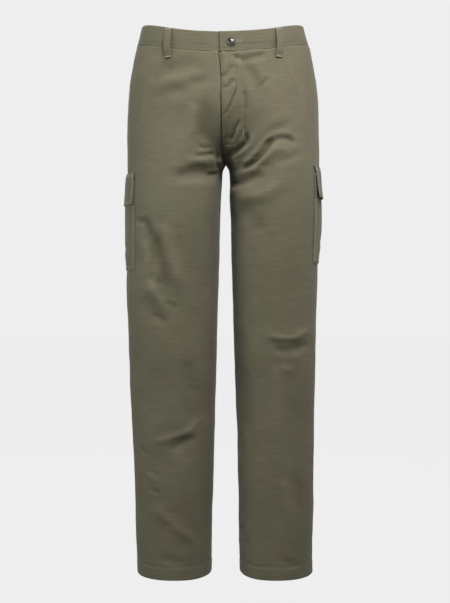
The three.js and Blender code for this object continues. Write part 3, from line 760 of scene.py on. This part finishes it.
def makeFly():
    # rows crowd together towards the bottom, where the J curves
    share = np.sin(np.linspace(0, 1, fly["rows"] + 1) * np.pi / 2)
    points, normals = [], []
    for z in fly["top"] + (fly["bottom"] - fly["top"]) * share:
        width = flyWidth(z)
        places = towardEnds(fly["columns"], 1, 0.5)
        row = [onFront(centreX(z) - fly["past"] + (width + fly["past"]) * (1 - s), z) for s in places]
        points.append([p for p, _ in row])
        normals.append([n for _, n in row])
    points, normals = np.array(points), np.array(normals)
    rise = smooth(fromEdges(points, "first", "bottom") / fly["rise"])
    heights = fly["stitched"] + (fly["edge"] - fly["stitched"]) * rise
    heights -= rolledEdge(fromEdges(points, "last"), fly["roll"])
    # the last columns face as the one before them does, so that the edge stays even
    normals[:, -3:] = normals[:, -4:-3]
    points[:, -3:, 1] = points[:, -4:-3, 1]
    points += normals * heights[..., None]
    return points, normals, 0.5 + fly["worn"] * bell(fromEdges(points, "last") / fly["wornWidth"])


flyPoints, flyNormals = addCloth("cloth_fly", makeFly(), fly["wall"])

# Waistband

band = {
    "perStation": 10, "rows": 22, "wall": 2.4 * mm, "roll": 1.3 * mm, "dip": 0.55, "stitchAt": 5.5 * mm,
    "sway": (0.5, 0.03, 14.2), "pucker": (0.25, 0.011, 31.2), "sink": 0.25 * mm,
    "stitchWidth": 2 * mm, "puckerTop": 5 * mm, "seamRoll": 0.7,
    "crease": {"left": 1.0 * mm, "right": 0.5 * mm}, "creaseAt": 12.5 * mm, "creaseWidth": 2.6 * mm,
    "creaseFrom": 12 * mm, "creaseTo": 118 * mm, "creaseFade": 24 * mm, "wearAndShade": (3 * mm, 3 * mm, 0.4, 1.0),
}


def makeBand(side):
    grid = cadGrid(f"waistband_{side}", "band" if side == "left" else "tuckedBand")
    stations = grid.shape[1] - 1
    wide = spareColumns(grid)
    wide[:, 0] = wide[:, 2] * np.array([-1, 1, 1])  # the other half carries on behind
    lines = across(wide, np.linspace(0, stations, stations * band["perStation"] + 1))
    lines[:, 0, 0] = 0
    points = splined(spare(lines), towardEnds(band["rows"], 2, 0.45))[::-1]
    normals = normalsOf(points, fromLeg(points, side))
    fromTop, fromSeam = fromEdges(points, "top"), fromEdges(points, "bottom")
    puckers = wave(points, band["pucker"])
    heights = wave(points, band["sway"])
    heights += (puckers - mm * band["dip"]) * bell((fromSeam - band["stitchAt"]) / band["stitchWidth"])
    heights += puckers * bell(fromTop / band["puckerTop"])
    heights -= rolledEdge(fromTop, band["roll"]) + rolledEdge(fromSeam, band["roll"]) * band["seamRoll"]
    heights -= rolledEdge(fromEdges(points, "last"), band["roll"])
    out = np.abs(points[..., 0])
    onCrease = smooth((out - band["creaseFrom"]) / band["creaseFade"]) * (points[..., 1] < 0)
    onCrease = onCrease * smooth((band["creaseTo"] - out) / band["creaseFade"])
    fold = bell((fromSeam - band["creaseAt"]) / band["creaseWidth"])
    heights -= band["crease"][side] * onCrease * fold
    # painted shade at the stitch dip, the fold and the rolled edges, painted light where the band stands
    # out, and real wear along the top edge
    wearAndShade = wornCloth(heights, fromTop, band["wearAndShade"])
    return points + normals * (heights - band["sink"])[..., None], normals, wearAndShade


bands = {side: addCloth(f"cloth_band_{side}", makeBand(side), band["wall"]) for side in sides}
print("waistband and fly made")

# Cargo pockets and flaps

pocket = {
    "perColumn": 9, "perRow": 9, "roll": 2.1 * mm, "wall": 1.0 * mm,
    "dip": 0.5, "rows": (1.5 * mm, 7.5 * mm), "sway": (0.9, 0.05, 17.9), "pucker": (0.3, 0.012, 41.7),
    "wearAndShade": (5 * mm, 2 * mm, 0.4, 1.0),
    "bulge": 3.2, "bulgeTop": 0.08, "flatEdge": 8 * mm, "bulgeEdge": 26 * mm, "swayEdge": 20 * mm,
    "sag": 1.1, "sagAt": 0.62, "sagBow": 0.06, "sagWidth": 0.035, "sagFrom": 10 * mm, "sagEdge": 20 * mm,
}
flap = {
    "perColumn": 9, "perRow": 12, "roll": 1.0 * mm, "wall": 1.7 * mm,
    "dip": 0.35, "rows": (1.5 * mm, 7.0 * mm), "sway": (0.6, 0.04, 23.1), "pucker": (0.25, 0.012, 41.7),
    "wearAndShade": (5 * mm, 2 * mm, 0.45, 0.8),
    "corner": {"left": 5.0 * mm, "right": 0.0}, "cornerDown": 0.15, "cornerOver": 0.45,
}
# the column that each patch starts from: the wearer's left one sits a little farther back
frontEdge = {"left": 0.55, "right": 0.0}


def finePatch(kind, side, rule):
    grid = cadGrid(f"cargo_{kind}_{side}", kind)
    rows, columns = grid.shape[0] - 1, grid.shape[1] - 1
    first = frontEdge[side]
    at = first + towardEnds(columns * rule["perColumn"], columns - first, 0.5)
    lines = across(spareColumns(grid), at)
    points = splined(spare(lines), towardEnds(rows * rule["perRow"], rows, 0.5))
    return points, normalsOf(points, np.array([sides[side], 0, 0]))


def sharesOf(points):
    # how far over and down each point lies, from 0 to 1
    rows, columns = points.shape[:2]
    return np.meshgrid(np.linspace(0, 1, columns), np.linspace(0, 1, rows))


def stitchDips(points, away, rule):
    dips = sum(bell((away - row) / (1.6 * mm)) for row in rule["rows"])
    return wave(points, rule["pucker"]) * bell(away / (12 * mm)) - mm * rule["dip"] * dips


def makePocket(side):
    points, normals = finePatch("pocket", side, pocket)
    away = fromEdges(points, "first", "last", "bottom")
    over, down = sharesOf(points)
    top = pocket["bulgeTop"]
    belly = np.sin(np.pi * over) * np.sin(np.pi * np.clip(down * (1 - top) + top, 0, 1))
    heights = stitchDips(points, away, pocket)
    heights += mm * pocket["bulge"] * belly * smooth((away - pocket["flatEdge"]) / pocket["bulgeEdge"])
    heights += wave(points, pocket["sway"]) * smooth(away / pocket["swayEdge"])
    fromSag = down - pocket["sagAt"] - pocket["sagBow"] * np.sin(3 * over)
    sag = bell(fromSag / pocket["sagWidth"]) * np.sin(np.pi * over)
    heights -= mm * pocket["sag"] * sag * smooth((away - pocket["sagFrom"]) / pocket["sagEdge"])
    heights -= rolledEdge(away, pocket["roll"])
    # the colour follows these heights: painted light on the bulge, painted shade in the stitch dips, the
    # sag and the rolled edges, and real wear along the edges
    return points + normals * heights[..., None], normals, wornCloth(heights, away, pocket["wearAndShade"])


def makeFlap(side):
    points, normals = finePatch("flap", side, flap)
    away = fromEdges(points, "first", "last", "bottom")
    over, down = sharesOf(points)
    heights = stitchDips(points, away, flap) + wave(points, flap["sway"]) * down
    heights -= rolledEdge(away, flap["roll"]) + rolledEdge(fromEdges(points, "top"), flap["roll"])
    # the left flap's front corner stands away from the leg
    lifted = smooth((down - flap["cornerDown"]) / (1 - flap["cornerDown"]))
    heights += flap["corner"][side] * lifted * smooth(1 - over / flap["cornerOver"])
    # the colour follows these heights: painted light where the flap stands out, painted shade in the stitch
    # dips and the rolled edges, and real wear along the edges
    return points + normals * heights[..., None], normals, wornCloth(heights, away, flap["wearAndShade"])


patches = {}
for side in sides:
    patches["pocket", side] = addCloth(f"cloth_pocket_{side}", makePocket(side), pocket["wall"])
    patches["flap", side] = addCloth(f"cloth_flap_{side}", makeFlap(side), flap["wall"])
print("cargo pockets made")

# Belt loops

loops = {"perRow": 9, "columns": 10, "roll": 0.8 * mm, "wall": 1.6 * mm, "stitchAt": 2.6 * mm, "dip": 0.35}
loopNames = ["front_left", "front_right", "back_left", "back_right", "back_centre"]


def makeLoop(name):
    grid = cadGrid(f"belt_loop_{name}", "loop")
    grid[1:-1] = (grid[:-2] + 2 * grid[1:-1] + grid[2:]) / 4  # the solid's bends are sharper than cloth's
    lines = across(spareColumns(grid), towardEnds(loops["columns"], 1, 0.5))
    points = splined(spare(lines), np.linspace(0, len(grid) - 1, (len(grid) - 1) * loops["perRow"] + 1))
    normals = normalsOf(points, points * np.array([0, 1, 0]))
    away = fromEdges(points, "first", "last", "top", "bottom")
    heights = -rolledEdge(away, loops["roll"])
    heights -= mm * loops["dip"] * bell((fromEdges(points, "first", "last") - loops["stitchAt"]) / mm)
    wearAndShade = 0.55 + 0.4 * bell(away / (1.5 * mm))
    return points + normals * heights[..., None], normals, wearAndShade


loopGrids = {name: addCloth(f"cloth_loop_{name}", makeLoop(name), loops["wall"]) for name in loopNames}
print("belt loops made")

# Stitching. An inset is how far in from the edge a row lies, and a trim is what its ends leave out.

seams = {
    "inseamInset": 6 * mm, "inseamTop": -262 * mm, "seatInsets": (2 * mm, 8 * mm), "seatFoot": -235 * mm,
    "flyInset": 1.2 * mm, "bandEndInset": 3.5 * mm, "bandEndTrim": (4 * mm, 4 * mm),
    "bandTuck": {"left": 3 * mm, "right": 26 * mm}, "loopTrim": (2 * mm, 2 * mm), "loopTackInset": 2.2 * mm,
}
flyTacks = [[(37, -190), (36.6, -196), (36, -201)], [(1, -219), (8, -219.5), (15, -219)]]
buttonhole = {"path": [(20, -26), (28, -26), (36, -25.6)], "apart": 1.5 * mm}


def frontLine(path, shift=0.0, step=2 * mm, tree=frontTree):
    line = creaseLine(path) * mm
    run = np.concatenate([[0], np.cumsum(np.linalg.norm(np.diff(line, axis=0), axis=1))])
    places = np.arange(0, run[-1], step)
    xs, zs = (np.interp(places, run, line[:, i]) for i in range(2))
    turn = np.gradient(xs), np.gradient(zs)
    size = np.hypot(*turn)
    spots = zip(xs, zs, *turn, size)
    hits = [onFront(x + shift * tz / s, z - shift * tx / s, tree) for x, z, tx, tz, s in spots]
    return np.array([p for p, _ in hits]), np.array([n for _, n in hits])


def sewSide(side):
    bandRow = insetLine(*bands[side], "bottom", band["stitchAt"], (0, seams["bandTuck"][side]))
    sew("thread_band", *bandRow)
    sew("thread_mouths", *frontLine(mouth[side], sides[side] * mouth["inset"]))
    for face in faces:
        surface = dressed[face, side], panelNormals[face, side]
        sew("thread_hems", *insetLine(*surface, "bottom", panel["hemHeight"]))
    front = dressed["front", side], panelNormals["front", side]
    line, facing = insetLine(*front, "last", seams["inseamInset"])
    below = line[:, 2] < seams["inseamTop"]
    sew("thread_inseams", line[below], facing[below])
    for kind, rule in (("pocket", pocket), ("flap", flap)):
        surface = patches[kind, side]
        near, far = rule["rows"]
        for inset in (near, far):
            for edge, trim in (("first", (0, inset)), ("last", (0, inset)), ("bottom", (inset, inset))):
                sew(f"thread_{kind}s", *insetLine(*surface, edge, inset, trim), "bold")
        if kind == "flap":
            sew("thread_flaps", *insetLine(*surface, "top", far, (near, near)), "bold")


def sewMiddle():
    sew("thread_band", *insetLine(*bands["left"], "last", seams["bandEndInset"], seams["bandEndTrim"]))
    back = dressed["back", "left"], panelNormals["back", "left"]
    for inset in seams["seatInsets"]:
        line, facing = insetLine(*back, "last", inset)
        above = np.arange(len(line)) < int(np.argmin(np.abs(line[:, 2] - seams["seatFoot"])))
        sew("thread_seat", line[above], facing[above])
    for edge, trim in (("first", (3 * mm, 0)), ("bottom", (0, 2 * mm))):
        sew("thread_fly", *insetLine(flyPoints, flyNormals, edge, seams["flyInset"], trim))
    bandTree = surfaceTree(["cloth_band_left"])
    for shift in (-buttonhole["apart"], buttonhole["apart"]):
        sew("thread_buttonhole", *frontLine(buttonhole["path"], shift, mm, bandTree), "hole")
    # painted shade in the buttonhole's cut
    sew("thread_slit", *frontLine(buttonhole["path"], 0, mm, bandTree), "slit")
    for path in flyTacks:
        line, facing = frontLine(path, step=mm)
        sew("thread_tacks", line + facing * fly["tackLift"], facing, "tack")


def sewLoop(surface):
    for edge in ("first", "last"):
        sew("thread_loops", *insetLine(*surface, edge, loops["stitchAt"], seams["loopTrim"]))
    for edge in ("top", "bottom"):  # bar tacks
        sew("thread_tacks", *insetLine(*surface, edge, seams["loopTackInset"], (mm, mm)), "tack")


for side in sides:
    sewSide(side)
sewMiddle()
for surface in loopGrids.values():
    sewLoop(surface)
for group in sorted(threadWork):
    pieces[group] = makeThread(group)
    print(group, len(threadWork[group]), "stitches")

# Button

button = {
    "radius": 8.4 * mm, "rim": 1.1 * mm, "dome": 6.9 * mm, "height": 4.6 * mm, "sides": 64,
    "rimSteps": 12, "domeSteps": 14, "groove": (1.25, 1.55), "shoulder": 1.6,  # the last two in rims
}


def buttonProfile():
    radius, rim, dome, height = (button[key] for key in ("radius", "rim", "dome", "height"))
    profile = [(0.0, 0.0), (radius - rim, 0.0)]
    for i in range(1, button["rimSteps"]):
        turned = math.pi * i / button["rimSteps"] - math.pi / 2
        profile.append((radius - rim * (1 - math.cos(turned)), rim * (1 + math.sin(turned))))
    grooveIn, grooveUp = button["groove"]
    profile += [(radius - grooveIn * rim, 2 * rim), (dome + 0.1 * mm, grooveUp * rim)]
    shoulder = button["shoulder"] * rim
    for i in range(button["domeSteps"]):
        turned = i / button["domeSteps"] * math.pi / 2
        profile.append((dome * math.cos(turned), shoulder + (height - shoulder) * math.sin(turned)))
    return profile + [(0.0, height)]


def makeButton():
    low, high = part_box("button")
    centre = (low + high) / 2
    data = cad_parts["button"].data
    biggest = max(data.polygons, key=lambda p: p.area if p.normal.y > 0.7 else 0)  # its flat back
    out = -biggest.normal
    bm = bmesh.new()
    verts = [bm.verts.new((r, 0, z)) for r, z in buttonProfile()]
    edges = [bm.edges.new(pair) for pair in zip(verts[:-1], verts[1:])]
    bmesh.ops.spin(bm, geom=verts + edges, axis=(0, 0, 1), cent=(0, 0, 0), steps=button["sides"],
                   angle=2 * math.pi, use_merge=True)
    bmesh.ops.remove_doubles(bm, verts=bm.verts, dist=0.002 * mm)
    bmesh.ops.recalc_face_normals(bm, faces=bm.faces)
    turn = out.to_track_quat("Z", "Y").to_matrix().to_4x4()
    base = centre - out * button["height"] / 2
    bmesh.ops.transform(bm, matrix=Matrix.Translation(base) @ turn, verts=bm.verts)
    mesh = bpy.data.meshes.new("metal_button")
    bm.to_mesh(mesh)
    bm.free()
    return addPiece("metal_button", mesh)


pieces["metal_button"] = makeButton()
print("button made")

# Finishes


class Wire:
    # a socket that can be added, multiplied and so on
    def __init__(self, finish, socket):
        self.finish = finish
        self.socket = socket

    def maths(self, operation, a, b):
        return self.finish.node("ShaderNodeMath", {"operation": operation}, {0: a, 1: b})

    def __add__(self, b):
        return self.maths("ADD", self, b)

    def __sub__(self, b):
        return self.maths("SUBTRACT", self, b)

    def __rsub__(self, b):
        return self.maths("SUBTRACT", b, self)

    def __mul__(self, b):
        return self.maths("MULTIPLY", self, b)

    __radd__ = __add__


class Finish:
    def __init__(self, name):
        self.material = bpy.data.materials.new(name)
        self.material.use_nodes = True
        self.tree = self.material.node_tree
        self.tree.nodes.clear()
        self.body = self.node("ShaderNodeTexCoord", output=3)

    def node(self, kind, settings=None, inputs=None, output=0):
        made = self.tree.nodes.new(kind)
        for key, value in (settings or {}).items():
            setattr(made, key, value)
        for key, value in (inputs or {}).items():
            if isinstance(value, Wire):
                self.tree.links.new(value.socket, made.inputs[key])
            else:
                made.inputs[key].default_value = value
        return Wire(self, made.outputs[output]) if made.outputs else None

    def mixed(self, share, a, b, blend="MIX"):
        settings = {"data_type": "RGBA", "blend_type": blend}
        return self.node("ShaderNodeMix", settings, {0: share, 6: a, 7: b}, 2)

    def clamped(self, value, low=0.0, high=1.0):
        return self.node("ShaderNodeClamp", {}, {"Value": value, "Min": low, "Max": high})

    def bumped(self, height, distance, strength):
        inputs = {"Strength": strength, "Distance": distance, "Height": height}
        return self.node("ShaderNodeBump", {}, inputs)

    def grain(self, where, scale, stretch=(1, 1, 1), detail=2.0):
        placed = self.node("ShaderNodeMapping", {}, {"Vector": where, "Scale": stretch})
        return self.node("ShaderNodeTexNoise", {}, {"Vector": placed, "Scale": scale, "Detail": detail})

    def shade(self, **sockets):
        inputs = {key.replace("_", " "): value for key, value in sockets.items()}
        shader = self.node("ShaderNodeBsdfPrincipled", {}, inputs)
        self.node("ShaderNodeOutputMaterial", {}, {"Surface": shader})
        return self.material


twill = {
    # the lighter colour is both real wear on edges and painted light on ridges; the darker one is painted
    # shade in troughs, stitch dips and rolled edges, also reached where the random tone runs darkest
    "worn": (0.190, 0.174, 0.117, 1), "cloth": (0.132, 0.1215, 0.0775, 1), "troughShade": (0.088, 0.083, 0.051, 1),
    "brown": (1.022, 0.99, 0.985, 1), "green": (0.972, 1.012, 0.985, 1), "hueSize": 55 * mm,
    "wale": 1.15 * mm, "slubLength": 34 * mm, "slubHeight": 4.2 * mm, "mottle": 70 * mm,
}


def makeTwill(name, tone=1.0):
    f = Finish(name)
    plan = f.node("ShaderNodeUVMap", {"uv_map": "clothPlan"})
    wearAndShade = f.node("ShaderNodeAttribute", {"attribute_name": "wearAndShade"}, output=2)
    wales = f.node("ShaderNodeTexWave", {"wave_type": "BANDS", "bands_direction": "DIAGONAL"},
                   {"Vector": plan, "Scale": 0.31 / twill["wale"], "Distortion": 0.6, "Detail": 1.0}, 1)
    slub = f.grain(plan, 1.0, (1 / twill["slubLength"], 1 / twill["slubHeight"], 1))
    fine = f.grain(plan, 1.0, (1 / (9 * mm), 1 / (0.8 * mm), 1), 1.0)
    mottle = f.grain(f.body, 1 / twill["mottle"], detail=3.0)
    fuzz = f.grain(f.body, 1 / (1.1 * mm), detail=1.0)
    hue = f.grain(f.body, 1 / twill["hueSize"], (1, 1, 0.6), 2.0)
    shade = (mottle - 0.5) * 0.34 + (slub - 0.5) * 0.8 + (fine - 0.5) * 0.25 + (wales - 0.5) * 0.10
    # the attribute from the mesh carries painted light on ridges and painted shade in troughs as well as
    # edge wear
    worn = (wearAndShade - 0.5) * 0.8 + shade
    lit = f.mixed(f.clamped(worn), twill["cloth"], twill["worn"])
    base = f.mixed(f.clamped(worn * -1.2), lit, twill["troughShade"])
    base = f.mixed(1.0, base, (tone, tone, tone, 1), "MULTIPLY")
    tint = f.mixed(f.clamped((hue - 0.5) * 3 + 0.5), twill["green"], twill["brown"])
    base = f.mixed(1.0, base, tint, "MULTIPLY")
    bump = f.bumped(wales * 0.5 + slub * 0.6 + fine * 0.4 + fuzz * 0.35, 0.35 * mm, 0.5)
    return f.shade(Base_Color=base, Roughness=f.clamped(0.84 - (slub - 0.5) * 0.2, 0.6, 0.95), Normal=bump,
                   Sheen_Weight=0.12, Sheen_Roughness=0.45, Specular_IOR_Level=0.25)


threadTones = {
    "light": ((0.30, 0.285, 0.22, 1), (0.50, 0.475, 0.38, 1)),
    "toned": ((0.115, 0.107, 0.069, 1), (0.178, 0.165, 0.109, 1)),
    # the darkest tone is painted shade, for the buttonhole's cut
    "slitShade": ((0.016, 0.014, 0.010, 1), (0.03, 0.027, 0.019, 1)),
}
toneOf = {"thread_pockets": "light", "thread_flaps": "light", "thread_tacks": "light",
          "thread_buttonhole": "light", "thread_slit": "slitShade"}


def makeThreadFinish(tone):
    f = Finish(f"{tone}Thread")
    tint = f.grain(f.body, 1 / (3 * mm))
    base = f.mixed(tint, *threadTones[tone])
    bump = f.bumped(f.grain(f.body, 1 / (0.5 * mm)), 0.1 * mm, 0.4)
    return f.shade(Base_Color=base, Roughness=0.6 + (tint - 0.5) * 0.2, Normal=bump, Sheen_Weight=0.15)


def makeGunmetal():
    f = Finish("gunmetal")
    tarnish = f.grain(f.body, 1 / (2.5 * mm), detail=4.0)
    base = f.mixed(tarnish, (0.05, 0.047, 0.043, 1), (0.15, 0.14, 0.125, 1))
    bump = f.bumped(tarnish, 0.1 * mm, 0.15)
    return f.shade(Base_Color=base, Roughness=0.22 + tarnish * 0.22, Metallic=1.0, Normal=bump)


def makeFloorFinish():
    f = Finish("floorFinish")
    base = f.mixed(f.grain(f.body, 0.6), (0.018, 0.018, 0.018, 1), (0.022, 0.022, 0.022, 1))
    return f.shade(Base_Color=base, Roughness=0.9, Specular_IOR_Level=0.0,
                   Emission_Color=studio["backdrop"], Emission_Strength=0.987)


def makeFloor():
    bm = bmesh.new()
    bmesh.ops.create_circle(bm, cap_ends=True, radius=studio["floorSize"] / 2, segments=96,
                            matrix=Matrix.Translation((0, 0, studio["floor"])))
    data = bpy.data.meshes.new("floor")
    bm.to_mesh(data)
    bm.free()
    floor = bpy.data.objects.new("floor", data)
    bpy.context.scene.collection.objects.link(floor)
    floor.visible_diffuse = False
    data.materials.append(makeFloorFinish())


def makeWorld():
    world = bpy.data.worlds.new("studioLight")
    world.use_nodes = True
    bpy.context.scene.world = world
    tree = world.node_tree
    tree.nodes.clear()
    seen, lighting = (tree.nodes.new("ShaderNodeBackground") for _ in range(2))
    seen.inputs["Color"].default_value = studio["backdrop"]
    lighting.inputs["Color"].default_value = studio["ambient"]
    path = tree.nodes.new("ShaderNodeLightPath")
    mix = tree.nodes.new("ShaderNodeMixShader")
    out = tree.nodes.new("ShaderNodeOutputWorld")
    tree.links.new(path.outputs["Is Camera Ray"], mix.inputs[0])
    tree.links.new(lighting.outputs[0], mix.inputs[1])
    tree.links.new(seen.outputs[0], mix.inputs[2])
    tree.links.new(mix.outputs[0], out.inputs[0])


makeFloor()
makeWorld()
mainTwill = makeTwill("khakiTwill")
bandTwill = makeTwill("khakiTwillDoubled", 0.87)
threadFinish = {tone: makeThreadFinish(tone) for tone in threadTones}
gunmetal = makeGunmetal()
print("finishes made")

# What each piece stands for, and the cloth that it was cut from

replaced = {
    "cloth_fly": ["fly_front"], "metal_button": ["button"],
    **{f"cloth_{face}_{side}": [f"{face}_{side}_{part}" for part in panelParts]
       for face in faces for side in sides},
    **{f"cloth_band_{side}": [f"waistband_{side}"] for side in sides},
    **{f"cloth_{kind}_{side}": [f"cargo_{kind}_{side}"] for kind in ("pocket", "flap") for side in sides},
    **{f"cloth_loop_{name}": [f"belt_loop_{name}"] for name in loopNames},
}
for name, piece in pieces.items():
    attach(piece, "root")
    if name in replaced:
        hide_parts(*replaced[name])
    if name.startswith("thread"):
        piece.data.materials.append(threadFinish[toneOf.get(name, "toned")])
        continue
    if name == "metal_button":
        piece.data.materials.append(gunmetal)
        continue
    doubled = name.split("_")[1] in ("band", "loop", "flap")
    piece.data.materials.append(bandTwill if doubled else mainTwill)
    area = sum(p.area for p in piece.data.polygons)
    print(name, "area", round(area, 4))
